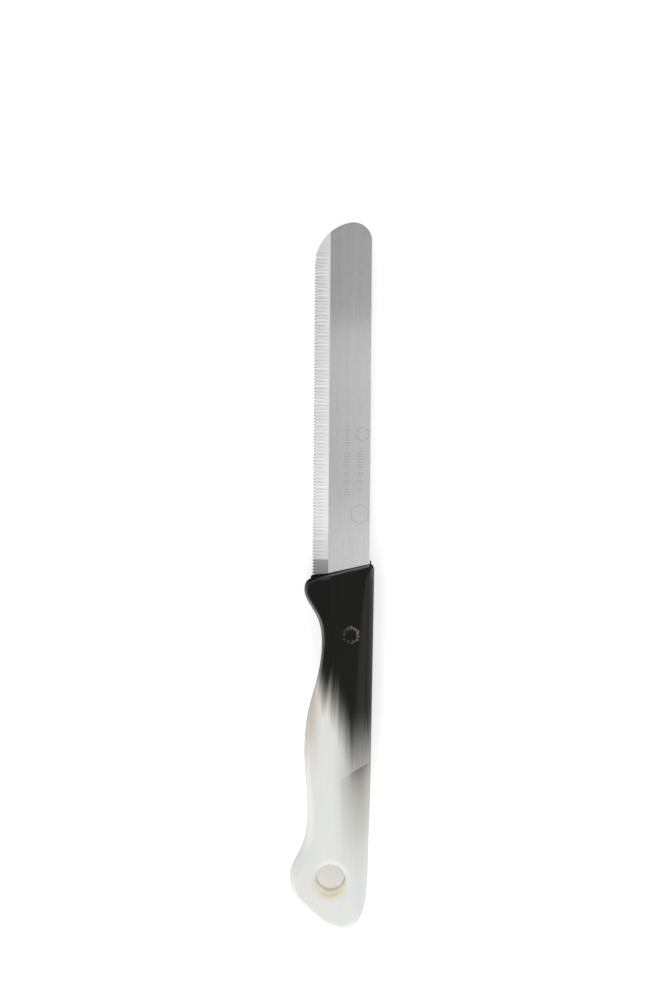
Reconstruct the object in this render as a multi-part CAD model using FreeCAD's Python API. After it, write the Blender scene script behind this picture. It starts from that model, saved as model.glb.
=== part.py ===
import FreeCAD, Part
import math
import os

# Uncapping knife: a short round-nosed honey knife lying flat on its side.
#
# It is made of two pieces. The blade is one strip of stainless steel, stamped out together with its tang,
# ground to a wide bevel on the upper side and cut with fine teeth. The handle is one polypropylene moulding
# that is shot around the tang, so that plastic posts run through the holes in the tang and lock it in.
#
# Frame, in millimetres: +Y runs along the knife towards the tip, +X towards the spine and +Z up, through the
# thickness. The knife rests on the handle's flat side at Z = 0. The origin is the bottom centre of its box.

# --- Driving dimensions -------------------------------------------------------------------------------

OVERALL_LENGTH = 220.0
OVERALL_WIDTH = 25.8
HANDLE_THICKNESS = 12.5

BLADE_WIDTH = 18.0
BLADE_THICKNESS = 1.2
BLADE_SPINE_X = 11.5
BEVEL_WIDTH = 5.0
BEVEL_DROP = 0.9
BACK_BEVEL_WIDTH = 1.2
BACK_BEVEL_DROP = 0.2
NOSE_RADIUS_EDGE = 14.0
NOSE_RADIUS_SPINE = 5.9

TOOTH_PITCH = 0.94
TOOTH_DEPTH = 0.7
TOOTH_TIP_FLAT = 0.04
TOOTH_ROOT_FLAT = 0.12
TOOTH_FIRST_Y = -0.6
TOOTH_LAST_Y = 99.2

FLUTE_PITCH = 1.085
FLUTE_RADIUS = 1.3
FLUTE_DEPTH = 0.1
FLUTE_LENGTH = 4.4
FLUTE_LEAST_LENGTH = 1.0
FLUTE_FIRST_Y = 5.3
FLUTE_LAST_Y = 103.0

HEEL_Y = -5.5
TANG_WIDTH = 9.5
TANG_CENTRE_X = 4.7
TANG_END_Y = -62.0
TANG_NOTCH_RADIUS = 1.5
TANG_HOLE_RADIUS = 2.25
TANG_HOLE_Y = (-17.0, -35.0, -53.0)

HANG_HOLE_Y = -94.0
HANG_HOLE_RADIUS = 4.5
HANG_HOLE_RIM_RADIUS = 2.0

LIP_WALL = 0.45
FLASH_THICKNESS = 0.35

# --- Places worked out from them ----------------------------------------------------------------------

MID_Z = HANDLE_THICKNESS / 2
TIP_Y = OVERALL_LENGTH / 2
BUTT_Y = -OVERALL_LENGTH / 2
HOOK_X = -OVERALL_WIDTH / 2
HANDLE_SPINE_X = OVERALL_WIDTH / 2
EDGE_X = BLADE_SPINE_X - BLADE_WIDTH
BLADE_TOP_Z = MID_Z + BLADE_THICKNESS / 2
BLADE_BOTTOM_Z = MID_Z - BLADE_THICKNESS / 2
BEVEL_ANGLE = math.atan2(BEVEL_DROP, BEVEL_WIDTH)

# The handle's front line in plan, on the parting plane. It slopes towards the tip on the spine side.
FRONT_FINGER_END = (-6.6, -0.9)
FRONT_SPINE_END = (11.6, 3.5)
FRONT_FULLNESS = 1.2


def vec(x, y, z=0.0):
    return FreeCAD.Vector(x, y, z)


# --- Blade --------------------------------------------------------------------------------------------

def blade_outline():
    """The blade and tang in plan: toothed edge, nose of two tangent arcs, straight spine, stepped tang."""
    spine_centre = vec(BLADE_SPINE_X - NOSE_RADIUS_SPINE, TIP_Y - NOSE_RADIUS_SPINE)
    edge_centre_x = EDGE_X + NOSE_RADIUS_EDGE
    reach = NOSE_RADIUS_EDGE - NOSE_RADIUS_SPINE
    drop = math.sqrt(reach ** 2 - (edge_centre_x - spine_centre.x) ** 2)
    edge_centre = vec(edge_centre_x, spine_centre.y - drop)

    join = edge_centre + (spine_centre - edge_centre).normalize() * NOSE_RADIUS_EDGE
    join_angle = math.atan2(join.y - edge_centre.y, join.x - edge_centre.x)
    middle_angle = (join_angle + math.pi) / 2
    edge_arc_middle = edge_centre + vec(math.cos(middle_angle), math.sin(middle_angle)) * NOSE_RADIUS_EDGE
    half_angle = join_angle / 2
    spine_arc_middle = spine_centre + vec(math.cos(half_angle), math.sin(half_angle)) * NOSE_RADIUS_SPINE
    edge_start = vec(EDGE_X, edge_centre.y)
    spine_start = vec(BLADE_SPINE_X, spine_centre.y)

    tang_left = TANG_CENTRE_X - TANG_WIDTH / 2
    tang_right = TANG_CENTRE_X + TANG_WIDTH / 2
    tang_shoulder_y = TANG_END_Y + TANG_WIDTH / 2
    tang_right_end = vec(tang_right, tang_shoulder_y)
    tang_left_end = vec(tang_left, tang_shoulder_y)
    edges = [
        Part.makeLine(vec(EDGE_X, HEEL_Y), edge_start),
        Part.Arc(edge_start, edge_arc_middle, join).toShape(),
        Part.Arc(join, spine_arc_middle, spine_start).toShape(),
        Part.makeLine(spine_start, vec(BLADE_SPINE_X, HEEL_Y)),
        Part.makeLine(vec(BLADE_SPINE_X, HEEL_Y), vec(tang_right, HEEL_Y)),
        Part.makeLine(vec(tang_right, HEEL_Y), tang_right_end),
        Part.Arc(tang_right_end, vec(TANG_CENTRE_X, TANG_END_Y), tang_left_end).toShape(),
        Part.makeLine(tang_left_end, vec(tang_left, HEEL_Y)),
        Part.makeLine(vec(tang_left, HEEL_Y), vec(EDGE_X, HEEL_Y)),
    ]
    return Part.Wire(edges), edge_centre


def steps(first, last, pitch):
    """Evenly spaced places from first up to last."""
    return [first + i * pitch for i in range(int((last - first) / pitch) + 1)]


def edge_x_at(y, edge_centre):
    """Where the edge is at y: straight along the blade, then round the nose."""
    if y <= edge_centre.y:
        return EDGE_X
    return edge_centre.x - math.sqrt(NOSE_RADIUS_EDGE ** 2 - (y - edge_centre.y) ** 2)


def tooth_gaps(edge_centre):
    """One V-shaped prism for each gap between two teeth."""
    beyond = 1.0
    gaps = []
    for y in steps(TOOTH_FIRST_Y, TOOTH_LAST_Y, TOOTH_PITCH):
        x = edge_x_at(y, edge_centre)
        half_mouth = (TOOTH_PITCH - TOOTH_TIP_FLAT) / 2
        half_root = TOOTH_ROOT_FLAT / 2
        widening = (half_mouth - half_root) / TOOTH_DEPTH * beyond
        corners = [
            vec(x - beyond, y - half_mouth - widening, 0),
            vec(x + TOOTH_DEPTH, y - half_root, 0),
            vec(x + TOOTH_DEPTH, y + half_root, 0),
            vec(x - beyond, y + half_mouth + widening, 0),
        ]
        face = Part.Face(Part.makePolygon(corners + corners[:1]))
        gaps.append(face.extrude(vec(0, 0, HANDLE_THICKNESS)))
    return gaps


def bevel_cuts():
    """Two wedges: the wide upper bevel and the narrow one on the underside."""
    beyond = 2.0
    top_slope = BEVEL_DROP / BEVEL_WIDTH
    back_slope = BACK_BEVEL_DROP / BACK_BEVEL_WIDTH
    top_start = EDGE_X + BEVEL_WIDTH
    back_start = EDGE_X + BACK_BEVEL_WIDTH
    top = [
        vec(top_start, 0, BLADE_TOP_Z),
        vec(EDGE_X - beyond, 0, BLADE_TOP_Z - BEVEL_DROP - beyond * top_slope),
        vec(EDGE_X - beyond, 0, BLADE_TOP_Z + beyond),
        vec(top_start, 0, BLADE_TOP_Z + beyond),
    ]
    back = [
        vec(back_start, 0, BLADE_BOTTOM_Z),
        vec(EDGE_X - beyond, 0, BLADE_BOTTOM_Z + BACK_BEVEL_DROP + beyond * back_slope),
        vec(EDGE_X - beyond, 0, BLADE_BOTTOM_Z - beyond),
        vec(back_start, 0, BLADE_BOTTOM_Z - beyond),
    ]
    cuts = []
    for corners in (top, back):
        face = Part.Face(Part.makePolygon(corners + corners[:1]))
        face.translate(vec(0, HEEL_Y - beyond, 0))
        cuts.append(face.extrude(vec(0, TIP_Y - HEEL_Y + 2 * beyond, 0)))
    return cuts


def flute_cuts(edge_centre):
    """Shallow round flutes ground across the bevel, each deepest at the edge and fading out up the bevel."""
    lean = BEVEL_ANGLE + math.atan2(FLUTE_DEPTH, FLUTE_LENGTH)
    run = vec(math.cos(lean), 0, math.sin(lean))
    lift = vec(-math.sin(lean), 0, math.cos(lean))
    beyond = 4.0
    flutes = []
    for y in steps(FLUTE_FIRST_Y, FLUTE_LAST_Y, FLUTE_PITCH):
        x = edge_x_at(y, edge_centre)
        if x > EDGE_X + BEVEL_WIDTH - FLUTE_LEAST_LENGTH:
            break
        surface_z = BLADE_TOP_Z - (EDGE_X + BEVEL_WIDTH - x) * math.tan(BEVEL_ANGLE)
        bottom = vec(x, y, surface_z - FLUTE_DEPTH)
        start = bottom + lift * FLUTE_RADIUS - run
        flutes.append(Part.makeCylinder(FLUTE_RADIUS, FLUTE_LENGTH + beyond, start, run))
    return flutes


def make_blade():
    wire, edge_centre = blade_outline()
    strip = Part.Face(wire).extrude(vec(0, 0, BLADE_THICKNESS))
    strip.translate(vec(0, 0, BLADE_BOTTOM_Z))
    tang_left = TANG_CENTRE_X - TANG_WIDTH / 2
    tang_right = TANG_CENTRE_X + TANG_WIDTH / 2
    holes = [(TANG_CENTRE_X, y, TANG_HOLE_RADIUS) for y in TANG_HOLE_Y]
    holes += [(x, HEEL_Y, TANG_NOTCH_RADIUS) for x in (tang_left, tang_right)]
    holes = [Part.makeCylinder(r, BLADE_THICKNESS, vec(x, y, BLADE_BOTTOM_Z)) for x, y, r in holes]
    ground = strip.cut(holes + bevel_cuts())
    fluted = ground.cut(flute_cuts(edge_centre))
    return fluted.cut(tooth_gaps(edge_centre)).Solids[0]


# --- Handle -------------------------------------------------------------------------------------------

# Each stretch of the handle's side is a list of (x, y, width, fullness): a point of the silhouette on the
# parting plane, how far in from it the flat top face begins, and how round the side is between them. Fullness
# 2 is a quarter of an ellipse, and 1 a straight drafted wall.

SPINE_SIDE = [
    (HANDLE_SPINE_X, 2.2, 2.0, 1.6),
    (HANDLE_SPINE_X - 0.1, -10.0, 4.0, 1.9),
    (HANDLE_SPINE_X - 0.25, -23.0, 5.2, 2.0),
    (HANDLE_SPINE_X - 0.5, -45.0, 6.4, 2.0),
    (HANDLE_SPINE_X - 0.9, -72.0, 6.0, 2.0),
    (HANDLE_SPINE_X - 1.5, -97.0, 3.9, 2.0),
]

PALM_AND_FINGER_SIDE = [
    SPINE_SIDE[-1],
    (10.5, -103.6, 3.2, 2.0),
    (8.2, -108.1, 2.6, 2.0),
    (3.9, BUTT_Y, 2.2, 2.0),
    (-2.6, -107.7, 1.7, 2.0),
    (-8.2, -102.6, 1.5, 2.0),
    (-11.9, -98.3, 1.8, 2.0),
    (HOOK_X, -94.0, 2.6, 2.0),
    (-11.6, -89.3, 3.3, 1.9),
    (-9.1, -84.5, 3.3, 1.8),
    (-7.6, -77.2, 2.6, 1.7),
    (-8.45, -58.0, 2.0, 1.6),
    (-7.2, -41.5, 1.7, 1.5),
    (-4.5, -31.1, 1.3, 1.4),
    (-3.3, -21.0, 1.1, 1.3),
    (-4.4, -14.0, 1.0, 1.3),
    (-7.3, -8.9, 1.0, 1.3),
    (-8.5, -6.4, 1.05, 1.3),
    (-8.8, -3.0, 1.2, 1.3),
]

# The two rounded front corners, as silhouette and top face points that go with each other.
FINGER_CORNER_OUTER = [(-8.8, -3.0), (-8.15, -1.6), FRONT_FINGER_END]
FINGER_CORNER_INNER = [(-7.6, -3.1), (-7.25, -2.4), (-6.35, -2.0)]
SPINE_CORNER_OUTER = [FRONT_SPINE_END, (12.55, 3.2), (HANDLE_SPINE_X, 2.2)]
SPINE_CORNER_INNER = [(10.2, 1.95), (10.5, 1.9), (10.6, 1.6)]
CORNER_FULLNESS = 1.35

RING_COUNT = 8

# The lip that seals against the blade, in plan. It stands out furthest over the bevel.
LIP_PLAN = [(-6.55, -1.6), (-6.55, 0.05), (-1.55, 0.6), (11.3, 3.55), (11.3, 1.5)]

# Two thin fins of flash where the mould halves meet at the blade's edges, in plan.
FLASH_PLANS = [
    [(11.3, 2.8), (11.35, 4.7), (11.6, 4.85), (11.85, 4.4), (11.9, 2.8)],
    [(-6.75, -1.8), (-6.8, -0.2), (-6.6, 0.0), (-6.4, -0.2), (-6.4, -1.8)],
]


def inner_points(side):
    """Where the flat top face begins: each silhouette point moved in, square to the curve, by its width."""
    curve = Part.BSplineCurve()
    curve.interpolate([vec(x, y) for x, y, _, _ in side])
    moved = []
    for x, y, width, _ in side:
        tangent = curve.tangent(curve.parameter(vec(x, y)))[0]
        inward = vec(tangent.y, -tangent.x).normalize()
        moved.append(vec(x, y) + inward * width)
    return moved


def shrink(level, fullness):
    """How much of the side's width is left at a level from 0, the parting plane, to 1, the top face."""
    return max(0.0, 1.0 - level ** fullness) ** (1.0 / fullness)


def ring(level, stretches):
    """The handle's outline at one level, as a wire of one edge for each stretch."""
    edges = []
    for outer, inner, fullness, kind in stretches:
        points = [i + (o - i) * shrink(level, f) for o, i, f in zip(outer, inner, fullness)]
        for p in points:
            p.z = level * MID_Z
        if kind == "line":
            edges.append(Part.makeLine(*points))
        elif kind == "arc":
            edges.append(Part.Arc(*points).toShape())
        else:
            curve = Part.BSplineCurve()
            curve.interpolate(points)
            edges.append(curve.toShape())
    return Part.Wire(edges)


def handle_stretches():
    """The stretches of the outline, in order, each with its silhouette points and its top face points."""
    spine_inner = inner_points(SPINE_SIDE)
    long_inner = inner_points(PALM_AND_FINGER_SIDE)
    finger_inner = [vec(*p) for p in FINGER_CORNER_INNER]
    corner_inner = [vec(*p) for p in SPINE_CORNER_INNER]
    spine_inner[0] = corner_inner[-1]
    long_inner[0] = spine_inner[-1]
    long_inner[-1] = finger_inner[0]
    spine_full = [f for _, _, _, f in SPINE_SIDE]
    long_full = [f for _, _, _, f in PALM_AND_FINGER_SIDE]
    finger_full = [long_full[-1], CORNER_FULLNESS, FRONT_FULLNESS]
    corner_full = [FRONT_FULLNESS, CORNER_FULLNESS, spine_full[0]]
    return [
        ([vec(*FRONT_FINGER_END), vec(*FRONT_SPINE_END)], [finger_inner[-1], corner_inner[0]],
         [FRONT_FULLNESS] * 2, "line"),
        ([vec(*p) for p in SPINE_CORNER_OUTER], corner_inner, corner_full, "arc"),
        ([vec(x, y) for x, y, _, _ in SPINE_SIDE], spine_inner, spine_full, "curve"),
        ([vec(x, y) for x, y, _, _ in PALM_AND_FINGER_SIDE], long_inner, long_full, "curve"),
        ([vec(*p) for p in FINGER_CORNER_OUTER], finger_inner, finger_full, "arc"),
    ]


def handle_body():
    """Both mould halves, each lofted from the parting plane to its flat face, joined into one body."""
    stretches = handle_stretches()
    levels = [math.sin(math.pi / 2 * i / RING_COUNT) for i in range(RING_COUNT + 1)]
    upper = Part.makeLoft([ring(level, stretches) for level in levels], True, False)
    lower = upper.mirror(vec(0, 0, 0), vec(0, 0, 1))
    body = upper.fuse(lower)
    body.translate(vec(0, 0, MID_Z))
    return body


def slab(plan, thickness):
    """A plate of the given plan, centred on the parting plane."""
    corners = [vec(x, y, MID_Z - thickness / 2) for x, y in plan]
    return Part.Face(Part.makePolygon(corners + corners[:1])).extrude(vec(0, 0, thickness))


def hang_hole():
    """The tool that cuts the hanging hole: a straight bore that opens into a rounded rim at each face."""
    r = HANG_HOLE_RIM_RADIUS
    wide = HANG_HOLE_RADIUS + r
    top = HANDLE_THICKNESS
    diagonal = r * math.sqrt(0.5)
    diagonal_drop = r - diagonal
    bore_low = vec(HANG_HOLE_RADIUS, 0, r)
    bore_high = vec(HANG_HOLE_RADIUS, 0, top - r)
    profile = Part.Wire([
        Part.makeLine(vec(0, 0, 0), vec(wide, 0, 0)),
        Part.Arc(vec(wide, 0, 0), vec(wide - diagonal, 0, diagonal_drop), bore_low).toShape(),
        Part.makeLine(bore_low, bore_high),
        Part.Arc(bore_high, vec(wide - diagonal, 0, top - diagonal_drop), vec(wide, 0, top)).toShape(),
        Part.makeLine(vec(wide, 0, top), vec(0, 0, top)),
        Part.makeLine(vec(0, 0, top), vec(0, 0, 0)),
    ])
    tool = Part.Face(profile).revolve(vec(0, 0, 0), vec(0, 0, 1), 360)
    tool.translate(vec(0, HANG_HOLE_Y, 0))
    return tool


def make_handle(blade):
    lip = slab(LIP_PLAN, BLADE_THICKNESS + 2 * LIP_WALL)
    flash = [slab(plan, FLASH_THICKNESS) for plan in FLASH_PLANS]
    moulding = handle_body().fuse([lip] + flash)
    return moulding.cut([hang_hole(), blade]).Solids[0]


def main():
    os.makedirs("parts", exist_ok=True)
    blade = make_blade()
    handle = make_handle(blade)
    for name, shape in (("blade", blade), ("handle", handle)):
        print(name, "valid", shape.isValid(), "volume", round(shape.Volume, 1), "box", shape.BoundBox)
        shape.exportStep(f"parts/{name}.step")


main()
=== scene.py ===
import bmesh
import bpy
import numpy as np
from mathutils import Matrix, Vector


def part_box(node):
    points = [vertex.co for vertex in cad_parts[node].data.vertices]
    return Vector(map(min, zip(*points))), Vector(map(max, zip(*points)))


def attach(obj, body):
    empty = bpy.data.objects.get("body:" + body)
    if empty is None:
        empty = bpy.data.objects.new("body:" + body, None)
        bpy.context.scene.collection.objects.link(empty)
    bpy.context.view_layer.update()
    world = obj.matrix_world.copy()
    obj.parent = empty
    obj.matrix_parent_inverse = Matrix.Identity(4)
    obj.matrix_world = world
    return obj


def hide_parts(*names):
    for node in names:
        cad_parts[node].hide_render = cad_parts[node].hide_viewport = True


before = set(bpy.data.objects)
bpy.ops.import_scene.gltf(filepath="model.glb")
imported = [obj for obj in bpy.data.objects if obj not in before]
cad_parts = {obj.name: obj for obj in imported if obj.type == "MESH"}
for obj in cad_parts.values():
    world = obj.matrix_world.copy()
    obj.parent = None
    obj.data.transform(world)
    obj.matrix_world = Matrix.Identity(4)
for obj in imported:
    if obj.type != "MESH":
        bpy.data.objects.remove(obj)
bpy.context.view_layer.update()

mm = 0.001

# ---------------------------------------------------------------------------------------------------
# Blade. One strip of hardened stainless steel, stamped out together with the tang that the handle hides.
# The upper side is ground to a wide bevel, fluted across by a profiled wheel, and the edge is cut into
# fine teeth. The tang's holes and notches are where the plastic grips it.

blade_low, blade_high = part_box("blade")
handle_low, handle_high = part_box("handle")
mid_z = (handle_low.z + handle_high.z) / 2
tip_y = blade_high.y
tang_end_y = blade_low.y
spine_x = blade_high.x
edge_x = spine_x - 18.0 * mm
steel = 1.2 * mm

bevel_wide = 5.0 * mm
bevel_drop = 0.9 * mm
back_bevel_wide = 1.2 * mm
back_bevel_drop = 0.2 * mm
nose_edge_r = 14.0 * mm
nose_spine_r = 5.9 * mm
rim_r = 0.18 * mm

tooth_pitch = 0.94 * mm
tooth_deep = 0.70 * mm
first_gap_y = -0.6 * mm
gap_count = 107

flute_pitch = 1.085 * mm
flute_deep = 0.06 * mm
first_flute_y = 4.9 * mm
flute_count = 95
flute_stop = 0.55 * mm

heel_y = -5.5 * mm
tang_x = 4.7 * mm
tang_half = 4.75 * mm
notch_r = 1.5 * mm
tang_hole_r = 2.25 * mm
tang_hole_y = np.array([-53.0, -35.0, -17.0]) * mm

spine_arc = np.array([spine_x - nose_spine_r, tip_y - nose_spine_r])
reach = nose_edge_r - nose_spine_r
edge_arc_x = edge_x + nose_edge_r
edge_arc = np.array([edge_arc_x, spine_arc[1] - np.sqrt(reach ** 2 - (edge_arc_x - spine_arc[0]) ** 2)])
crease_x = edge_x + bevel_wide
crease_top_y = edge_arc[1] + np.sqrt(nose_edge_r ** 2 - (crease_x - edge_arc[0]) ** 2)

rng = np.random.default_rng(11)
flute_share = rng.uniform(0.45, 1.25, flute_count + 2)


def line(a, b, steps):
    """Points from a towards b in equal steps, without b itself."""
    return a + (np.asarray(b) - a) * (np.arange(steps) / steps)[:, None]


def arc(centre, r, start, stop, steps):
    """Points round a centre at radius r, from one angle in degrees towards another, without the last."""
    a = np.radians(start + (stop - start) * np.arange(steps) / steps)
    return centre + r * np.stack([np.cos(a), np.sin(a)], axis=-1)


def into_nose(x, y):
    """How far in from the nose and the spine a point of the plan lies: radius less distance from the
    arc's centre, or the distance from the straight spine."""
    side = (edge_arc - spine_arc)[0] * (y - spine_arc[1]) - (edge_arc - spine_arc)[1] * (x - spine_arc[0])
    from_edge_arc = nose_edge_r - np.hypot(x - edge_arc[0], y - edge_arc[1])
    from_spine_arc = nose_spine_r - np.hypot(x - spine_arc[0], y - spine_arc[1])
    right = np.where(y > spine_arc[1], from_spine_arc, spine_x - x)
    return np.clip(np.where((side < 0) & (y > edge_arc[1]), from_edge_arc, right), 0, None)


def rim_drop(x, y):
    """The tumbled rim: a quarter circle of radius rim_r down from the flat."""
    out = np.clip(rim_r - into_nose(x, y), 0, rim_r)
    return rim_r - np.sqrt(rim_r ** 2 - out ** 2)


def flute_drop(x, y):
    """Scallops side by side along the bevel, each a parabola across, of its own depth, that fades out
    short of the bevel's upper line. They grow shallower towards the handle."""
    place = (y - first_flute_y) / flute_pitch
    which = np.floor(place).astype(int)
    fluted = (which >= 0) & (which < flute_count)
    across = 2 * (place - which) - 1
    along = np.clip((crease_x - flute_stop - x) / (0.9 * mm), 0, 1)
    along = along * along * (3 - 2 * along)
    deep = flute_deep * flute_share[np.clip(which, 0, flute_count)]
    deep = deep * np.interp(y, [10 * mm, 85 * mm], [0.45, 0.95])
    return fluted * deep * along * (1 - across ** 2)


def top_z(x, y):
    """Height of the upper side: the flat, less the deeper of bevel and rim, less the flutes."""
    in_bevel = np.clip(crease_x - x, 0, None)
    return steel / 2 - np.maximum(in_bevel * bevel_drop / bevel_wide, rim_drop(x, y)) - flute_drop(x, y)


def bottom_z(x, y):
    """Height of the underside: the flat, more the deeper of the narrow back bevel and the rim."""
    in_bevel = np.clip(edge_x + back_bevel_wide - x, 0, None) * (y > heel_y)
    return np.maximum(in_bevel * back_bevel_drop / back_bevel_wide, rim_drop(x, y)) - steel / 2


def rows(outer, inner, shares):
    """A grid of the plan: each row runs straight from its outer point to its inner one, at the shares."""
    return outer[:, None] + (inner - outer)[:, None] * shares[..., None]


def raised(plan, height):
    """The plan's points with their height from height(x, y)."""
    return np.concatenate([plan, height(plan[..., 0], plan[..., 1])[..., None]], axis=-1)


def solid(name, sheets, sharp=35):
    """One closed mesh from grids of points: quads over each grid, welded where the grids meet."""
    points = []
    quads = []
    count = 0
    for sheet in sheets:
        across = sheet.shape[1]
        corner = count + np.arange((sheet.shape[0] - 1) * across).reshape(-1, across)[:, :-1].ravel()
        quads.append(np.stack([corner, corner + 1, corner + across + 1, corner + across], axis=-1))
        points.append(sheet.reshape(-1, 3))
        count += len(points[-1])
    mesh = bpy.data.meshes.new(name)
    mesh.from_pydata(np.concatenate(points), [], np.concatenate(quads).tolist())
    work = bmesh.new()
    work.from_mesh(mesh)
    bmesh.ops.remove_doubles(work, verts=work.verts, dist=0.0004 * mm)
    bmesh.ops.dissolve_degenerate(work, edges=work.edges, dist=0.0004 * mm)
    bmesh.ops.recalc_face_normals(work, faces=work.faces)
    for face in work.faces:
        face.smooth = True
    work.to_mesh(mesh)
    work.free()
    mesh.set_sharp_from_angle(angle=np.radians(sharp))
    piece = bpy.data.objects.new(name, mesh)
    bpy.context.scene.collection.objects.link(piece)
    return piece


# The plan's two sides and the line that both halves meet on, piece by piece up the tang and the blade,
# with the same number of points in each. At a hole the line splits and goes round both sides of it.
tang_arc_y = tang_end_y + tang_half
left = [arc(np.array([tang_x, tang_arc_y]), tang_half, 270, 180, 12)]
right = [arc(np.array([tang_x, tang_arc_y]), tang_half, -90, 0, 12)]
centre_left = [line([tang_x, tang_end_y], [tang_x, tang_arc_y], 12)]
centre_right = [centre_left[0]]
hole_rows = []
y = tang_arc_y
for hole_y in tang_hole_y:
    hole_low, hole_high = hole_y - tang_hole_r, hole_y + tang_hole_r
    for low, high, steps in ((y, hole_low, 3), (hole_low, hole_high, 18)):
        left.append(line([tang_x - tang_half, low], [tang_x - tang_half, high], steps))
        right.append(line([tang_x + tang_half, low], [tang_x + tang_half, high], steps))
    hole = np.array([tang_x, hole_y])
    straight = line([tang_x, y], [tang_x, hole_low], 3)
    centre_left += [straight, arc(hole, tang_hole_r, 270, 90, 18)]
    centre_right += [straight, arc(hole, tang_hole_r, -90, 90, 18)]
    hole_rows.append(sum(len(part) for part in left) - 18)
    y = hole_high

shoulder_y = heel_y - notch_r
for side, path in ((-1, left), (1, right)):
    corner = np.array([tang_x + side * tang_half, heel_y])
    blade_side = edge_x if side < 0 else spine_x
    path.append(line([corner[0], y], [corner[0], shoulder_y], 3))
    path.append(corner + arc(0, notch_r, -90, 180, 18) * np.array([-side, 1]))
    path.append(line([corner[0] + side * notch_r, heel_y], [blade_side, heel_y], 3))
neck_top_y = heel_y + 2.5 * mm
neck = [line([tang_x, y], [tang_x, shoulder_y], 3), line([tang_x, shoulder_y], [tang_x, neck_top_y], 21)]

# Up the blade a row stands at each corner of a tooth and at each ridge between two flutes.
gap_mouth, gap_floor = 0.46 * tooth_pitch, 0.064 * tooth_pitch
gaps = first_gap_y + np.arange(gap_count)[:, None] * tooth_pitch
tooth_rows = gaps + np.array([-0.46, -0.25, -0.064, 0.064, 0.25, 0.46]) * tooth_pitch
ridge_rows = first_flute_y + np.arange(flute_count) * flute_pitch
blade_y = np.concatenate([[heel_y, -3.5 * mm], tooth_rows.ravel(), ridge_rows, [crease_top_y - 0.4 * mm]])
blade_y = np.unique(np.round(blade_y[blade_y < crease_top_y - 0.1 * mm], 8))
past_first_gap = blade_y - first_gap_y
from_gap = np.abs(past_first_gap - tooth_pitch * np.round(past_first_gap / tooth_pitch))
toothed = (past_first_gap > -tooth_pitch / 2) & (past_first_gap < (gap_count - 0.5) * tooth_pitch)
tooth_cut = toothed * tooth_deep * np.clip((gap_mouth - from_gap) / (gap_mouth - gap_floor), 0, 1)
above = np.clip(blade_y - edge_arc[1], 0, None)
left_x = edge_arc[0] - np.sqrt(nose_edge_r ** 2 - above ** 2) + tooth_cut
right_x = spine_arc[0] + np.sqrt(nose_spine_r ** 2 - np.clip(blade_y - spine_arc[1], 0, None) ** 2)
middle_x = np.interp(blade_y, [0, 20 * mm], [tang_x, spine_arc[0]])
middle_y = np.interp(blade_y, [heel_y, 2 * mm], [neck_top_y, 2 * mm])
middle_y = np.where(blade_y > 2 * mm, blade_y, middle_y)

# Round the nose the rows fan out and close up at the tip.
nose_steps = 36
join_angle = np.degrees(np.arctan2(spine_arc[1] - edge_arc[1], spine_arc[0] - edge_arc[0]))
cross_angle = 180 - np.degrees(np.arcsin((crease_top_y - edge_arc[1]) / nose_edge_r))
spine_angle = np.degrees(np.arcsin((crease_top_y - spine_arc[1]) / nose_spine_r))
tip = np.array([spine_arc[0], tip_y])
left += [
    np.stack([left_x, blade_y], axis=-1),
    arc(edge_arc, nose_edge_r, cross_angle, join_angle, nose_steps - 10),
    arc(spine_arc, nose_spine_r, join_angle, 90, 10),
    [tip],
]
right += [
    np.stack([right_x, blade_y], axis=-1),
    arc(spine_arc, nose_spine_r, spine_angle, 90, nose_steps),
    [tip],
]
fan = line([spine_arc[0], crease_top_y], tip, nose_steps)
middle = neck + [np.stack([middle_x, middle_y], axis=-1), fan, [tip]]
left, right = np.concatenate(left), np.concatenate(right)
centre_left, centre_right = np.concatenate(centre_left + middle), np.concatenate(centre_right + middle)

# Across each half a column follows the bevel's line, with two close beside it to keep the line crisp.
wide = np.clip(centre_left[:, 0] - left[:, 0], 1e-9, None)
length = np.linalg.norm(centre_left - left, axis=1) + 1e-9
least = np.minimum(0.3 * mm / length, 0.9)
at_crease = np.maximum((crease_x - left[:, 0]) / wide, least)[:, None]
at_back = np.clip((edge_x + back_bevel_wide - left[:, 0]) / wide, 0.1 * least, None)[:, None]
at_back = np.minimum(at_back, 0.3 * at_crease)
beside = np.minimum(0.04 * mm / length[:, None], 0.04 * at_crease)
bevel_columns = at_back + (at_crease - beside - at_back) * np.linspace(0, 1, 11)
flat_columns = at_crease + beside + (1 - at_crease - beside) * np.linspace(0, 1, 5)
left_shares = np.concatenate([at_back * [0, 0.34, 0.67], bevel_columns, at_crease, flat_columns], axis=1)
length = np.linalg.norm(centre_right - right, axis=1)[:, None] + 1e-9
near_rim = np.minimum(0.3 * mm / length, 0.9)
flat_columns = near_rim + (1 - near_rim) * np.linspace(0, 1, 5)
right_shares = np.concatenate([near_rim * [0, 0.1, 0.25, 0.42, 0.62], flat_columns], axis=1)

blade_sheets = []
for outer, inner, shares in ((left, centre_left, left_shares), (right, centre_right, right_shares)):
    plan = rows(outer, inner, shares)
    over, under = raised(plan, top_z), raised(plan, bottom_z)
    blade_sheets += [over, under, np.stack([over[:, 0], under[:, 0]], axis=1)]
    for first in hole_rows:
        ring = slice(first, first + 19)
        blade_sheets.append(np.stack([over[ring, -1], under[ring, -1]], axis=1))
for sheet in blade_sheets:
    sheet[..., 2] += mid_z
blade = solid("blade_strip", blade_sheets)


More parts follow.
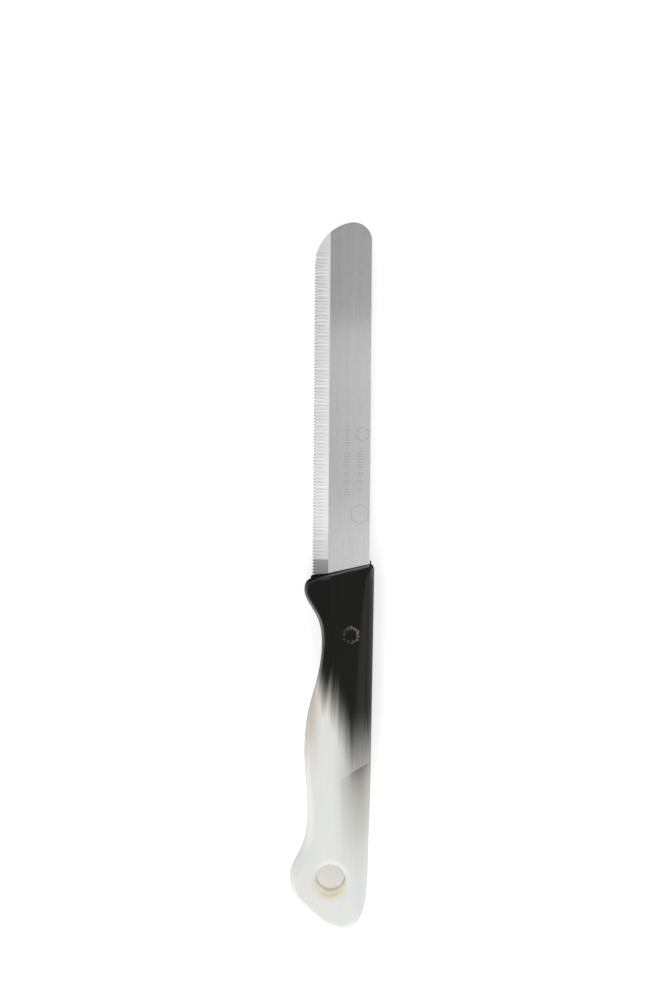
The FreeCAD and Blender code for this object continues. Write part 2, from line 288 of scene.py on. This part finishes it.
class Field:
    """A number that varies over a surface. Arithmetic on it adds Math nodes to the material's tree."""

    def __init__(self, tree, socket):
        self.tree = tree
        self.socket = socket

    def math(self, operation, *others):
        made = self.tree.nodes.new("ShaderNodeMath")
        made.operation = operation
        for place, value in enumerate((self,) + others):
            plug(self.tree, made.inputs[place], value)
        return Field(self.tree, made.outputs[0])

    def __add__(self, other):
        return self.math("ADD", other)

    def __sub__(self, other):
        return self.math("SUBTRACT", other)

    def __mul__(self, other):
        return self.math("MULTIPLY", other)

    def __truediv__(self, other):
        return self.math("DIVIDE", other)

    def rise(self, low, high, bottom=0.0, top=1.0):
        """An even S-shaped rise from bottom to top while this field goes from low to high."""
        made = self.tree.nodes.new("ShaderNodeMapRange")
        made.interpolation_type = "SMOOTHSTEP"
        for place, value in enumerate((self, low, high, bottom, top)):
            plug(self.tree, made.inputs[place], value)
        return Field(self.tree, made.outputs[0])


def plug(tree, socket, value):
    """Sets a socket to a plain value, or links it to a field or another node's socket."""
    if isinstance(value, Field):
        value = value.socket
    if isinstance(value, bpy.types.NodeSocket):
        tree.links.new(value, socket)
    else:
        socket.default_value = value


def node(tree, kind, sockets, **choices):
    """A node of that kind, with its choices set and its sockets plugged; returns its first output."""
    made = tree.nodes.new("ShaderNode" + kind)
    for name, value in choices.items():
        setattr(made, name, value)
    for name, value in sockets.items():
        plug(tree, made.inputs[name], value)
    return made.outputs[0]


def material(name):
    """A new material: its tree, its surface shader, and the piece's own x, y and z in millimetres."""
    made = bpy.data.materials.new(name)
    made.use_nodes = True
    tree = made.node_tree
    where = tree.nodes.new("ShaderNodeTexCoord").outputs["Object"]
    where = node(tree, "VectorMath", {0: where, 1: (1 / mm, 1 / mm, 1 / mm)}, operation="MULTIPLY")
    apart = tree.nodes.new("ShaderNodeSeparateXYZ")
    tree.links.new(where, apart.inputs[0])
    return made, tree, tree.nodes["Principled BSDF"], [Field(tree, output) for output in apart.outputs]


def noise(tree, x, y, z, scale=1.0, detail=2.0, roughness=0.5):
    """Smooth noise from 0 to 1 on the given coordinates."""
    point = node(tree, "CombineXYZ", {0: x, 1: y, 2: z})
    return Field(tree, node(tree, "TexNoise", {
        "Vector": point, "Scale": scale, "Detail": detail, "Roughness": roughness,
    }))


def blend(tree, share, first, second):
    """A colour between two colours."""
    made = tree.nodes.new("ShaderNodeMix")
    made.data_type = "RGBA"
    plug(tree, made.inputs[0], share)
    plug(tree, made.inputs[6], first)
    plug(tree, made.inputs[7], second)
    return made.outputs[2]


def relief(tree, height, distance, strength):
    """A bump from a height field, distance in metres for a rise of 1."""
    return node(tree, "Bump", {"Height": height, "Distance": distance, "Strength": strength})


def hexagon(x, y, centre_x, centre_y):
    """How far a point is from a hexagon's centre, measured square to its nearest side."""
    across, along = (x - centre_x).math("ABSOLUTE"), (y - centre_y).math("ABSOLUTE")
    return across.math("MAXIMUM", across * 0.5 + along * 0.866)


# The flats are brushed lengthwise, so the light on them spreads crosswise. The tumbled rim is duller, and
# worn etching shows faintly: two outlined hexagons and two columns of short bars.
steel_flat, tree, shader, (x, y, z) = material("brushed_stainless")
grain = noise(tree, x * 7.0, y * 0.10, z, detail=3)
fine_grain = noise(tree, x * 30.0, y * 1.1, z, detail=2)
wide_grain = noise(tree, x * 0.55, y * 0.012, z, detail=2)
mottle = noise(tree, x * 0.9, y * 0.7, z, detail=4, roughness=0.6)
speckle = noise(tree, x * 3.0, y * 2.2, z, detail=2)
upper = z.rise(mid_z / mm, mid_z / mm + 0.1)

outlined = (hexagon(x, y, 8.9, 44.0) - 1.9).math("ABSOLUTE")
outlined = outlined.math("MINIMUM", (hexagon(x, y, 8.2, 19.0) - 2.6).math("ABSOLUTE"))
outlined = outlined.rise(0.16, 0.34, 1.0, 0.0)
bar_place = y / 0.85
bar = bar_place.math("FRACT").math("SUBTRACT", 0.5).math("ABSOLUTE").rise(0.14, 0.34, 1.0, 0.0)
bar_width = noise(tree, bar_place.math("FLOOR") * 7.3, 0.0, 0.0).rise(0.30, 0.62, 0.0, 1.0)
first_column = (x - 3.9 - bar_width * 0.4).math("ABSOLUTE") - bar_width
second_column = (x - 8.8 + bar_width * 0.5).math("ABSOLUTE") - bar_width * 1.2
first_column = first_column.rise(0.0, 0.15, 1.0, 0.0) * y.rise(24.8, 25.0) * y.rise(46.8, 47.0, 1.0, 0.0)
second_column = second_column.rise(0.0, 0.15, 1.0, 0.0) * y.rise(25.8, 26.0) * y.rise(39.8, 40.0, 1.0, 0.0)
etched = outlined.math("MAXIMUM", bar * first_column.math("MAXIMUM", second_column))
etched = etched * upper * mottle.rise(0.25, 0.6, 0.35, 1.0)
# Painted shade: the teeth are darkened, standing for their shaded flanks.
painted_tooth_shade = x.rise(edge_x / mm + 0.4, edge_x / mm + 1.0, 1.0, 0.0) * y.rise(99.4, 100.2, 1.0, 0.0)

at_rim = tree.nodes.new("ShaderNodeAttribute")
at_rim.attribute_name = "rim"
at_rim = Field(tree, at_rim.outputs["Fac"])
tone = grain * 0.05 + fine_grain * 0.09 + wide_grain * 0.10 + mottle * 0.05 + speckle * 0.06
# The slopes in x and y are painted reflection: lighter towards the spine and over the stretch by the handle,
# darker from 74–84 mm on towards the tip.
tone = tone + x * 0.0060 + 0.478 + y.rise(4.0, 34.0, 0.125, 0.0) - y.rise(20.0, 55.0, 0.03, 0.0)
tone = tone + y.rise(50.0, 66.0, 0.0, 0.03) - y.rise(74.0, 84.0, 0.0, 0.085)
tone = tone - etched * 0.11 - at_rim * 0.24 - painted_tooth_shade * 0.16
plug(tree, shader.inputs["Base Color"], node(tree, "CombineColor", {0: tone, 1: tone, 2: tone}))
shader.inputs["Metallic"].default_value = 1.0
shader.inputs["Anisotropic"].default_value = 1.0
plug(tree, shader.inputs["Tangent"], node(tree, "CombineXYZ", {0: 1.0, 1: 0.0, 2: -1.0}))
plug(tree, shader.inputs["Roughness"], grain * 0.05 + etched * 0.02 + at_rim * 0.1 + mottle * 0.04 + 0.13)
plug(tree, shader.inputs["Normal"],
     relief(tree, grain * 0.5 + fine_grain * 0.35 + mottle * 0.6 - etched * 0.3, 0.004 * mm, 0.6))

# The bevel is ground crosswise and left brighter, and the last stretch by the handle isn't fluted. In its
# colour, the dark line between two flutes and the dark teeth are painted shade, and the darker stretch by
# the handle is painted reflection of the black handle.
steel_bevel, tree, shader, (x, y, z) = material("ground_bevel")
grain = noise(tree, x * 0.25, y * 9.0, z, detail=3)
mottle = noise(tree, x * 0.8, y * 1.3, z, detail=3)
along = noise(tree, x * 0.2, y * 0.035, z, detail=2)
heel = y.rise(4.6, 5.1, 1.0, 0.0)
flute = (y - first_flute_y / mm) / (flute_pitch / mm)
from_middle = flute.math("FRACT").math("SUBTRACT", 0.5).math("ABSOLUTE")
ridge_shade_strength = noise(tree, (flute + 0.5).math("FLOOR") * 5.7, x * 0.3, 0.0, detail=1)
# Painted shade: a dark line along each ridge between two flutes, each of its own strength, none on the heel.
painted_ridge_shade = from_middle.rise(0.20, 0.46) * ridge_shade_strength.rise(0.25, 0.7, 0.10, 1.0)
painted_ridge_shade = painted_ridge_shade * x.rise(crease_x / mm - 1.1, crease_x / mm - 0.5, 1.0, 0.0)
painted_ridge_shade = painted_ridge_shade * (heel * -1.0 + 1.0) * y.rise(99.0, 102.5, 1.0, 0.5)
# Painted shade: the teeth are darkened, standing for their shaded flanks.
painted_tooth_shade = x.rise(edge_x / mm + 0.35, edge_x / mm + 0.95, 1.0, 0.0) * y.rise(99.4, 100.2, 1.0, 0.0)
by_crease = x.rise(edge_x / mm + 1.4, crease_x / mm - 1.0, 0.0, 0.05)
# Painted reflection: the tone falls a little from 20 mm towards the tip, and the heel and the stretch up to
# 18 mm are darkened where the black handle is mirrored.
tone = grain * 0.06 + mottle * 0.05 + along * 0.06 + y.rise(20.0, 100.0, 0.05, 0.0) + by_crease + 0.69
tone = tone - heel * 0.345 - y.rise(6.0, 18.0, 0.17, 0.0)
tone = tone - painted_ridge_shade * y.rise(15.0, 85.0, 0.07, 0.16) - painted_tooth_shade * 0.28
plug(tree, shader.inputs["Base Color"], node(tree, "CombineColor", {0: tone, 1: tone, 2: tone}))
shader.inputs["Metallic"].default_value = 1.0
shader.inputs["Anisotropic"].default_value = 0.6
plug(tree, shader.inputs["Tangent"], node(tree, "CombineXYZ", {0: 0.0, 1: 1.0, 2: 0.0}))
plug(tree, shader.inputs["Roughness"], grain * 0.12 + 0.26)
plug(tree, shader.inputs["Normal"], relief(tree, grain + mottle * 0.5, 0.004 * mm, 0.5))

# How near each point lies to the tumbled rim, for the material.
corners = np.zeros(len(blade.data.vertices) * 3)
blade.data.vertices.foreach_get("co", corners)
corners = corners.reshape(-1, 3)
near_rim = np.exp(-into_nose(corners[:, 0], corners[:, 1]) / (0.16 * mm)) * (corners[:, 1] > heel_y)
blade.data.attributes.new("rim", "FLOAT", "POINT").data.foreach_set("value", near_rim.astype(np.float32))
blade.data.materials.append(steel_flat)
blade.data.materials.append(steel_bevel)
centres = np.zeros(len(blade.data.polygons) * 3)
blade.data.polygons.foreach_get("center", centres)
centres = centres.reshape(-1, 3)
in_bevel = (centres[:, 0] < crease_x - 0.01 * mm) & (centres[:, 1] > heel_y)
in_bevel &= centres[:, 2] > mid_z - steel * 0.4
blade.data.polygons.foreach_set("material_index", in_bevel.astype(np.int32))
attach(blade, "root")
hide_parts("blade")

# ---------------------------------------------------------------------------------------------------
# Handle. One polypropylene moulding shot round the tang in a two-part mould that closes at mid-thickness.
# Its sides are round towards the spine and crisp towards the fingers; both faces are flat. A hooked butt
# carries the hanging hole.

half_thick = (handle_high.z - handle_low.z) / 2
hole_centre = np.array([0.0, -94.0 * mm])
hole_r = 4.5 * mm
hole_rim_r = 2.0 * mm

# Silhouette points: x, y, how far in the flat face begins, and how crisp the side is (0 round, 1 a drafted
# wall with a small fillet). They run from the middle of the front, down the spine side, round the butt and
# back up the finger side.
silhouette = np.array([
    [2.6, 1.42, 1.05, 1.0],
    [7.0, 2.5, 1.05, 1.0],
    [10.2, 3.28, 1.05, 1.0],
    [11.45, 3.56, 1.05, 1.0],
    [12.3, 3.28, 1.1, 0.9],
    [12.75, 2.4, 1.4, 0.6],
    [12.86, 0.8, 2.3, 0.3],
    [12.84, -3.0, 3.2, 0.1],
    [12.78, -10.0, 4.0, 0.0],
    [12.65, -23.0, 5.2, 0.0],
    [12.4, -45.0, 6.4, 0.0],
    [12.0, -72.0, 6.0, 0.0],
    [11.6, -88.0, 4.9, 0.0],
    [11.35, -97.0, 3.9, 0.0],
    [10.4, -103.6, 3.2, 0.0],
    [8.2, -108.1, 2.6, 0.0],
    [3.9, -110.0, 2.2, 0.0],
    [0.4, -109.3, 1.9, 0.0],
    [-2.6, -107.6, 1.6, 0.0],
    [-8.2, -102.6, 1.4, 0.0],
    [-11.9, -98.3, 1.7, 0.0],
    [-12.9, -94.0, 2.6, 0.0],
    [-11.6, -89.4, 3.4, 0.0],
    [-9.2, -84.6, 3.4, 0.0],
    [-7.6, -77.5, 2.6, 0.0],
    [-8.45, -58.0, 2.0, 0.0],
    [-7.2, -41.5, 1.7, 0.2],
    [-4.5, -31.2, 1.3, 0.5],
    [-3.3, -21.0, 1.05, 0.8],
    [-4.4, -14.1, 1.0, 1.0],
    [-7.3, -8.9, 1.0, 1.0],
    [-8.75, -5.6, 1.0, 1.0],
    [-8.8, -3.5, 1.0, 1.0],
    [-8.1, -1.85, 1.0, 1.0],
    [-6.8, -1.0, 1.05, 1.0],
    [-5.4, -0.56, 1.05, 1.0],
    [-2.0, 0.28, 1.05, 1.0],
    [2.6, 1.42, 1.05, 1.0],
]) * [mm, mm, mm, 1]


def smooth_through(points, steps):
    """The natural cubic curve through the points, spaced by their chords: second derivatives from the
    usual three-term equations, then a cubic in each span. Returns the values and the tangents."""
    knots = np.concatenate([[0], np.cumsum(np.linalg.norm(np.diff(points[:, :2], axis=0), axis=1))])
    h = np.diff(knots)
    slope = np.diff(points, axis=0) / h[:, None]
    matrix = np.eye(len(points))
    inside = np.arange(1, len(points) - 1)
    matrix[inside, inside - 1] = h[:-1]
    matrix[inside, inside] = 2 * (h[:-1] + h[1:])
    matrix[inside, inside + 1] = h[1:]
    bend = np.zeros_like(points)
    bend[1:-1] = 6 * np.diff(slope, axis=0)
    bend = np.linalg.solve(matrix, bend)
    at = np.linspace(0, knots[-1], steps)
    span = np.clip(np.searchsorted(knots, at) - 1, 0, len(h) - 1)
    u, w = (at - knots[span])[:, None], h[span][:, None]
    b0, b1 = bend[span], bend[span + 1]
    start = slope[span] - w * (2 * b0 + b1) / 6
    value = points[span] + u * start + u ** 2 * b0 / 2 + u ** 3 * (b1 - b0) / (6 * w)
    tangent = start + u * b0 + u ** 2 * (b1 - b0) / (2 * w)
    return value, tangent[:, :2]


def read_at(run, places, values):
    """Values read off at the given lengths along the curve."""
    return np.stack([np.interp(places, run, column) for column in values.T], axis=-1)


# Rows along the handle: close-set at the front corners, level with each other on both sides of the hole.
corner_rows, body_rows, ring_rows, butt_rows = 44, 200, 44, 36
row_count = corner_rows + body_rows + ring_rows + butt_rows + 1
row_marks = np.cumsum([0, corner_rows, body_rows, ring_rows, butt_rows])
rim = hole_r + hole_rim_r
curve, tangent = smooth_through(silhouette, 9000)
normal = np.stack([tangent[:, 1], -tangent[:, 0]], axis=-1) / np.linalg.norm(tangent, axis=1)[:, None]
silhouette_curve = curve[:, :2]
face_curve = silhouette_curve + normal * curve[:, 2:3]
face_curve[[0, -1]] = face_curve[[0, -1]].mean(axis=0)
butt = np.argmin(curve[:, 1])
halves = []
for half, swing in ((slice(None, butt - 1, -1), (90, 270)), (slice(0, butt + 1), (90, -90))):
    outer, inner, crisp = silhouette_curve[half], face_curve[half], np.clip(curve[half, 3], 0, 1)
    run = np.concatenate([[0], np.cumsum(np.linalg.norm(np.diff(outer, axis=0), axis=1))])
    past_front = np.argmax((outer[:, 1] < -7 * mm))
    beside_top = np.argmax(inner[:, 1] < hole_centre[1] + rim + 0.1 * mm)
    beside_bottom = np.argmax(inner[:, 1] < hole_centre[1] - rim - 0.1 * mm)
    places = np.interp(np.arange(row_count), row_marks, run[[0, past_front, beside_top, beside_bottom, -1]])
    outer, inner = read_at(run, places, outer), read_at(run, places, inner)
    crisp = np.interp(places, run, crisp)
    top = hole_centre + [0, rim]
    neck_point = inner[0] + (top - inner[0]) * 0.09
    centre_line = np.concatenate([
        line(inner[0], neck_point, corner_rows),
        line(neck_point, top, body_rows),
        arc(hole_centre, rim, swing[0], swing[1], ring_rows),
        line(hole_centre - [0, rim], inner[-1], butt_rows),
        inner[-1:],
    ])
    halves.append((outer, inner, crisp, centre_line))

# The round side is a quarter of an ellipse. The crisp one leans straight in from the parting line to a
# small fillet, which takes the last of the width and of the height.
quarter = np.radians(np.linspace(0, 90, 19))
round_side = np.stack([np.cos(quarter), np.sin(quarter)], axis=-1)
fillet = 0.34
fillet_turn = np.radians(np.linspace(0, 90, 13))
wall_up = 1 - fillet * mm / half_thick
crisp_side = np.concatenate([
    np.stack([np.linspace(1, fillet, 7)[:-1], np.linspace(0, wall_up, 7)[:-1]], axis=-1),
    np.stack([fillet * np.cos(fillet_turn), wall_up + (1 - wall_up) * np.sin(fillet_turn)], axis=-1),
])
handle_sheets = []
for outer, inner, crisp, centre_line in halves:
    out, up = np.moveaxis(round_side + (crisp_side - round_side) * crisp[:, None, None], -1, 0)
    plan = inner[:, None] + (outer - inner)[:, None] * out[..., None]
    side = np.concatenate([plan, up[..., None] * half_thick], axis=-1)
    face = rows(inner, centre_line, np.linspace(0, 1, 11))
    face = np.concatenate([face, np.full(face.shape[:2] + (1,), half_thick)], axis=-1)
    handle_sheets += [side, face]

turn = np.radians(np.linspace(0, 360, 2 * ring_rows + 1))[:, None]
down = np.radians(np.linspace(0, 90, 10))
bore_r = np.concatenate([rim - hole_rim_r * np.sin(down), [hole_r, hole_r]])
bore_z = np.concatenate([half_thick - hole_rim_r * (1 - np.cos(down)), [half_thick * 0.4, 0]])
handle_sheets.append(np.stack([
    hole_centre[0] + np.cos(turn) * bore_r,
    hole_centre[1] + np.sin(turn) * bore_r,
    np.ones_like(turn) * bore_z,
], axis=-1))


def plate(front, back, half):
    """Upper side of a thin plate with rounded edges between two rails that share their end points. At a
    share s of the way across and t along, z is half (1 - |2s-1|^6)^(1/6) (1 - |2t-1|^12)^(1/12)."""
    t = (1 - np.cos(np.linspace(0, np.pi, 61))) / 2
    s = (1 - np.cos(np.linspace(0, np.pi, 19))) / 2
    rails = [read_at(np.linspace(0, 1, len(rail)), t, np.array(rail) * mm) for rail in (front, back)]
    plan = rows(rails[0], rails[1], np.tile(s, (61, 1)))
    z = half * np.clip(1 - abs(2 * s - 1) ** 6, 0, None) ** (1 / 6)
    z = z * np.clip(1 - abs(2 * t - 1) ** 12, 0, None)[:, None] ** (1 / 12)
    return np.concatenate([plan, z[..., None]], axis=-1)


# The lip that the mould shuts on the blade, deepest at the edge, and a little flash at both edges of the
# blade. Each is a pair of rails in millimetres and half its thickness.
lip = ([(-6.63, -1.3), (-6.62, -0.5), (-6.58, 0.04), (-5.3, 0.2), (-1.53, 0.6), (2.6, 1.56), (7.0, 2.57),
        (11.6, 3.62), (11.8, 3.1)],
       [(-6.63, -1.3), (-5.6, -1.7), (-4.0, -1.4), (-2.0, -0.8), (-1.0, -0.6), (2.6, 0.3), (7.0, 1.3),
        (10.5, 2.3), (11.8, 3.1)], steel / 2 + 0.45 * mm)
spine_flash = ([(11.35, 2.6), (11.38, 3.9), (11.45, 4.6), (11.62, 4.85)],
               [(11.35, 2.6), (11.95, 2.7), (11.9, 4.3), (11.62, 4.85)], 0.35 * mm)
edge_flash = ([(-6.9, -1.9), (-6.95, -1.2), (-6.85, -0.4), (-6.5, 0.0)],
              [(-6.9, -1.9), (-6.3, -1.9), (-6.2, -0.6), (-6.5, 0.0)], 0.35 * mm)
handle_sheets += [plate(*each) for each in (lip, spine_flash, edge_flash)]
handle_sheets += [sheet * [1, 1, -1] for sheet in handle_sheets]
handle_sheets = [sheet + [0, 0, mid_z] for sheet in handle_sheets]
handle = solid("handle_moulding", handle_sheets)

# Black plastic was let into the mould first and white after it. The black runs out in streaks that fan out
# with the handle, and a second, fainter patch lies behind a slanting flow line.
plastic, tree, shader, (x, y, z) = material("two_melt_polypropylene")
fan_out = (y * -0.02 - 0.5).math("MAXIMUM", 0.0) + 1.0
flow = (x - 4.0) / fan_out
streak = noise(tree, flow * 0.85, y * 0.03, z * 0.25, detail=2)
hair = noise(tree, flow * 3.2, y * 0.05, z * 0.6, detail=2)
cloud = noise(tree, x * 0.09, y * 0.05, z * 0.1, detail=2)
front = tree.nodes.new("ShaderNodeFloatCurve")
plug(tree, front.inputs["Value"], (flow + 12.0) / 24.0)
across_front = front.mapping.curves[0]
for place, share in ((-12, 0.92), (-8.4, 0.92), (-6.2, 0.80), (-4.9, 0.685), (-4.0, 0.75), (-3.0, 0.675),
                     (-2.2, 0.66), (-1.2, 0.57), (-0.4, 0.505), (0.6, 0.40), (2.0, 0.325), (3.4, 0.375),
                     (5.0, 0.38), (12.0, 0.38)):
    if abs(place) < 12:
        across_front.points.new((place + 12) / 24, share)
    else:
        across_front.points[0 if place < 0 else -1].location = ((place + 12) / 24, share)
end_of_black = Field(tree, front.outputs[0]) * 40.0 - 65.0
feather = x.rise(-6.0, 5.0, 6.0, 13.0)
end_of_black = end_of_black + feather * ((streak - 0.5) * 0.6 + (hair - 0.5) * 0.45)
first_melt = ((y - end_of_black) / feather).rise(-1.0, 1.0)
flow_line = x * 0.82 - x * x * 0.0155 - 65.2
behind = flow_line - y + (hair - 0.5) * 0.8
fading = (behind * -0.068).math("EXPONENT") * behind.rise(18.0, 44.0, 0.75, 0.0)
patch_side = (x + (streak - 0.5) * 3.0).rise(0.0, 9.0) * x.rise(9.0, 12.0, 1.0, 0.75)
patch = behind.rise(-0.35, 0.45) * fading * patch_side
ahead = behind.rise(-25.0, -1.0) * behind.rise(-0.35, 0.45, 1.0, 0.0) * x.rise(-1.0, 10.0, 0.0, 0.27)
haze = x.rise(-6.5, -2.5, 0.17, 0.0) * (y + (streak - 0.5) * 24.0 + (hair - 0.5) * 12.0).rise(-66.0, -36.0)
white_share = (first_melt * -1.0 + 1.0) * (ahead * -1.0 + 1.0) * (haze * -1.0 + 1.0)
white_share = white_share * (hair * 0.03 + streak * 0.04 + 0.96).math("MINIMUM", 1.0)
white_share = white_share.math("POWER", 1.85) * (patch * -1.0 + 1.0)

white_melt = blend(tree, cloud.rise(0.35, 0.7), (0.640, 0.652, 0.636, 1), (0.612, 0.640, 0.630, 1))
black_melt = blend(tree, (streak + x * 0.04).rise(0.3, 0.6),
                   (0.0040, 0.0030, 0.0034, 1), (0.0052, 0.0056, 0.0032, 1))
colour = blend(tree, white_share, black_melt, white_melt)
warmth = white_share.rise(0.03, 0.35) * white_share.rise(0.75, 1.0, 1.0, 0.15) * x.rise(-7.0, 4.0, 1.0, 0.45)
colour = blend(tree, warmth, colour, node(tree, "MixRGB", {0: 1.0, 1: colour, 2: (1.0, 0.90, 0.81, 1)},
                                          blend_type="MULTIPLY"))
above_hole = y - hole_centre[1] / mm
from_axis = (x * x + above_hole * above_hole).math("SQRT")
# Painted light and shade round the hanging hole: a yellow tint, strongest below the hole, stands for light
# shining through the plastic, and the bore's wall darkens down its depth as painted shade.
above_glow_centre = above_hole + 0.5
from_glow_centre = (x * x + above_glow_centre * above_glow_centre).math("SQRT")
hole_glow_and_shade = from_glow_centre.rise(hole_r / mm + 0.1, hole_r / mm + 1.4, 1.0, 0.0)
hole_glow_and_shade = hole_glow_and_shade * (above_hole + (cloud - 0.5) * 6.0).rise(-3.0, 2.0, 1.0, 0.35)
in_bore = from_axis.rise(hole_r / mm + 0.1, hole_r / mm + 0.9, 1.0, 0.0)
hole_glow_shade_colour = blend(tree, in_bore * z.rise(4.0, 12.3, 1.0, 0.0),
                     (0.80, 0.75, 0.585, 1), (0.12, 0.117, 0.095, 1))
colour = blend(tree, hole_glow_and_shade, colour, hole_glow_shade_colour)

print_wear = noise(tree, x * 2.3, y * 1.8, 0.0, detail=4, roughness=0.7)
printed = (hexagon(x, y, 5.7, -18.3) - 2.1).math("ABSOLUTE").rise(0.30, 0.55, 1.0, 0.0)
printed = printed * (print_wear + x * 0.02 + y * 0.02).rise(0.22, 0.34)
printed = printed * z.rise(half_thick / mm, 2 * half_thick / mm - 0.5)
colour = blend(tree, printed * 0.85, colour, (0.17, 0.14, 0.10, 1))
# Painted highlight: the colour is lifted to a light grey along the guard's fillet, broken up by noise.
painted_guard_highlight = tree.nodes.new("ShaderNodeAttribute")
painted_guard_highlight.attribute_name = "painted_guard_highlight"
painted_guard_highlight = Field(tree, painted_guard_highlight.outputs["Fac"])
painted_guard_highlight = painted_guard_highlight * noise(tree, x * 0.5, y * 0.8, z * 0.5, detail=3).rise(0.3, 0.6, 0.55, 1.0)
colour = blend(tree, painted_guard_highlight, colour, node(tree, "MixRGB", {0: 1.0, 1: colour, 2: (0.27, 0.27, 0.255, 1)},
                                        blend_type="LIGHTEN"))
plug(tree, shader.inputs["Base Color"], colour)
# Painted glow: the bore's lower wall near the top face gives off a warm light, standing for light shining
# through the plastic.
shader.inputs["Emission Color"].default_value = (1.0, 0.93, 0.74, 1)
painted_bore_glow = in_bore * above_hole.rise(-3.5, 0.5, 0.45, 0.0) * z.rise(9.5, 12.0, 1.0, 0.0)
plug(tree, shader.inputs["Emission Strength"], painted_bore_glow)

peel = noise(tree, x * 2.0, y * 1.6, z * 2.0, detail=3)
scuff = noise(tree, x * 6.0, y * 0.8, z * 4.0, detail=3)
plug(tree, shader.inputs["Roughness"], white_share * 0.10 + scuff * 0.08 + 0.24)
plug(tree, shader.inputs["Normal"], relief(tree, peel * 0.7 + scuff * 0.3, 0.01 * mm, 0.35))
shader.inputs["Specular IOR Level"].default_value = 0.16
handle.data.materials.append(plastic)

# A painted highlight lies along the fillet of the guard's crisp edge, strongest about 11.5 mm behind the
# front.
corners = np.zeros(len(handle.data.vertices) * 3)
handle.data.vertices.foreach_get("co", corners)
corners = corners.reshape(-1, 3)
guard_line = face_curve[(face_curve[:, 0] < -1 * mm) & (face_curve[:, 1] > -25 * mm)]
on_guard = (corners[:, 0] < -1 * mm) & (corners[:, 1] > -22 * mm)
on_guard = np.flatnonzero(on_guard & (abs(corners[:, 2] - mid_z) > wall_up * half_thick))
away = np.linalg.norm(corners[on_guard, None, :2] - guard_line, axis=2).min(axis=1)
brightest_stretch = np.exp(-((corners[on_guard, 1] / mm + 11.5) / 5) ** 2)
guard_highlight_share = np.zeros(len(corners), np.float32)
guard_highlight_share[on_guard] = np.exp(-((away / mm - 0.17) / 0.11) ** 2) * (0.2 + 0.8 * brightest_stretch)
handle.data.attributes.new("painted_guard_highlight", "FLOAT", "POINT").data.foreach_set("value", guard_highlight_share)
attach(handle, "root")
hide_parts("handle")

# ---------------------------------------------------------------------------------------------------
# Studio: a plain pale floor, soft light all round, and a camera that looks straight down on the knife.

floor_mesh = bpy.data.meshes.new("studio_floor")
floor_mesh.from_pydata([(-3, -3, 0), (3, -3, 0), (3, 3, 0), (-3, 3, 0)], [], [(0, 1, 2, 3)])
floor = bpy.data.objects.new("studio_floor", floor_mesh)
bpy.context.scene.collection.objects.link(floor)
paper, tree, shader, _ = material("studio_paper")
shader.inputs["Base Color"].default_value = (0.93, 0.93, 0.93, 1)
shader.inputs["Roughness"].default_value = 0.9
shader.inputs["Specular IOR Level"].default_value = 0.0
shader.inputs["Emission Color"].default_value = (1, 1, 1, 1)
shader.inputs["Emission Strength"].default_value = 0.29
floor_mesh.materials.append(paper)
floor.visible_glossy = False

# A light tent: dimmer round the camera's opening overhead and past the blade's tip, dark under the table.
world = bpy.data.worlds.new("studio")
bpy.context.scene.world = world
world.use_nodes = True
tree = world.node_tree
apart = tree.nodes.new("ShaderNodeSeparateXYZ")
tree.links.new(tree.nodes.new("ShaderNodeTexCoord").outputs["Generated"], apart.inputs[0])
sky_x, sky_y, sky_z = (Field(tree, output) for output in apart.outputs)
from_zenith = (sky_x * sky_x + sky_y * sky_y).math("SQRT")
tent = from_zenith.rise(0.05, 0.90, 0.64, 1.0) * sky_y.rise(-0.7, 0.9, 1.12, 0.80)
beyond_tip = sky_y.rise(0.083, 0.098) * sky_x.math("ABSOLUTE").rise(0.18, 0.34, 1.0, 0.0)
table = sky_y.rise(-0.25, 0.2, 0.7, 0.02)
below = sky_z.rise(-0.9, -0.3, 1.0, 0.0)
sky = tree.nodes["Background"]
sky.inputs["Color"].default_value = (1, 1, 1, 1)
plug(tree, sky.inputs["Strength"], tent * (beyond_tip * -0.30 + 1.0) * (below * -1.0 + 1.0) + table * below)

key = bpy.data.lights.new("key_softbox", "AREA")
key.shape = "RECTANGLE"
key.size, key.size_y = 0.35, 0.5
key.energy = 2.7
key_lamp = bpy.data.objects.new("key_softbox", key)
key_lamp.location = (-0.38, -0.55, 0.46)
key_lamp.rotation_euler = Vector((0.38, 0.50, -0.46)).to_track_quat("-Z", "Y").to_euler()
bpy.context.scene.collection.objects.link(key_lamp)

fill = bpy.data.lights.new("fill_softbox", "AREA")
fill.shape = "RECTANGLE"
fill.size, fill.size_y = 0.5, 0.8
fill.energy = 1.2
fill_lamp = bpy.data.objects.new("fill_softbox", fill)
fill_lamp.location = (0.6, 0.0, 0.5)
fill_lamp.rotation_euler = Vector((-0.6, 0.0, -0.5)).to_track_quat("-Z", "Y").to_euler()
bpy.context.scene.collection.objects.link(fill_lamp)

camera_data = bpy.data.cameras.new("camera")
camera_data.sensor_width = 36
camera_data.lens = 69.25
camera_data.clip_start = 0.01
camera = bpy.data.objects.new("camera", camera_data)
camera.location = (0.0, 23.4 * mm, mid_z + 0.6)
camera.rotation_euler = (0, 0, np.radians(0.44))
bpy.context.scene.collection.objects.link(camera)
bpy.context.scene.camera = camera
bpy.context.scene.view_settings.view_transform = "Standard"
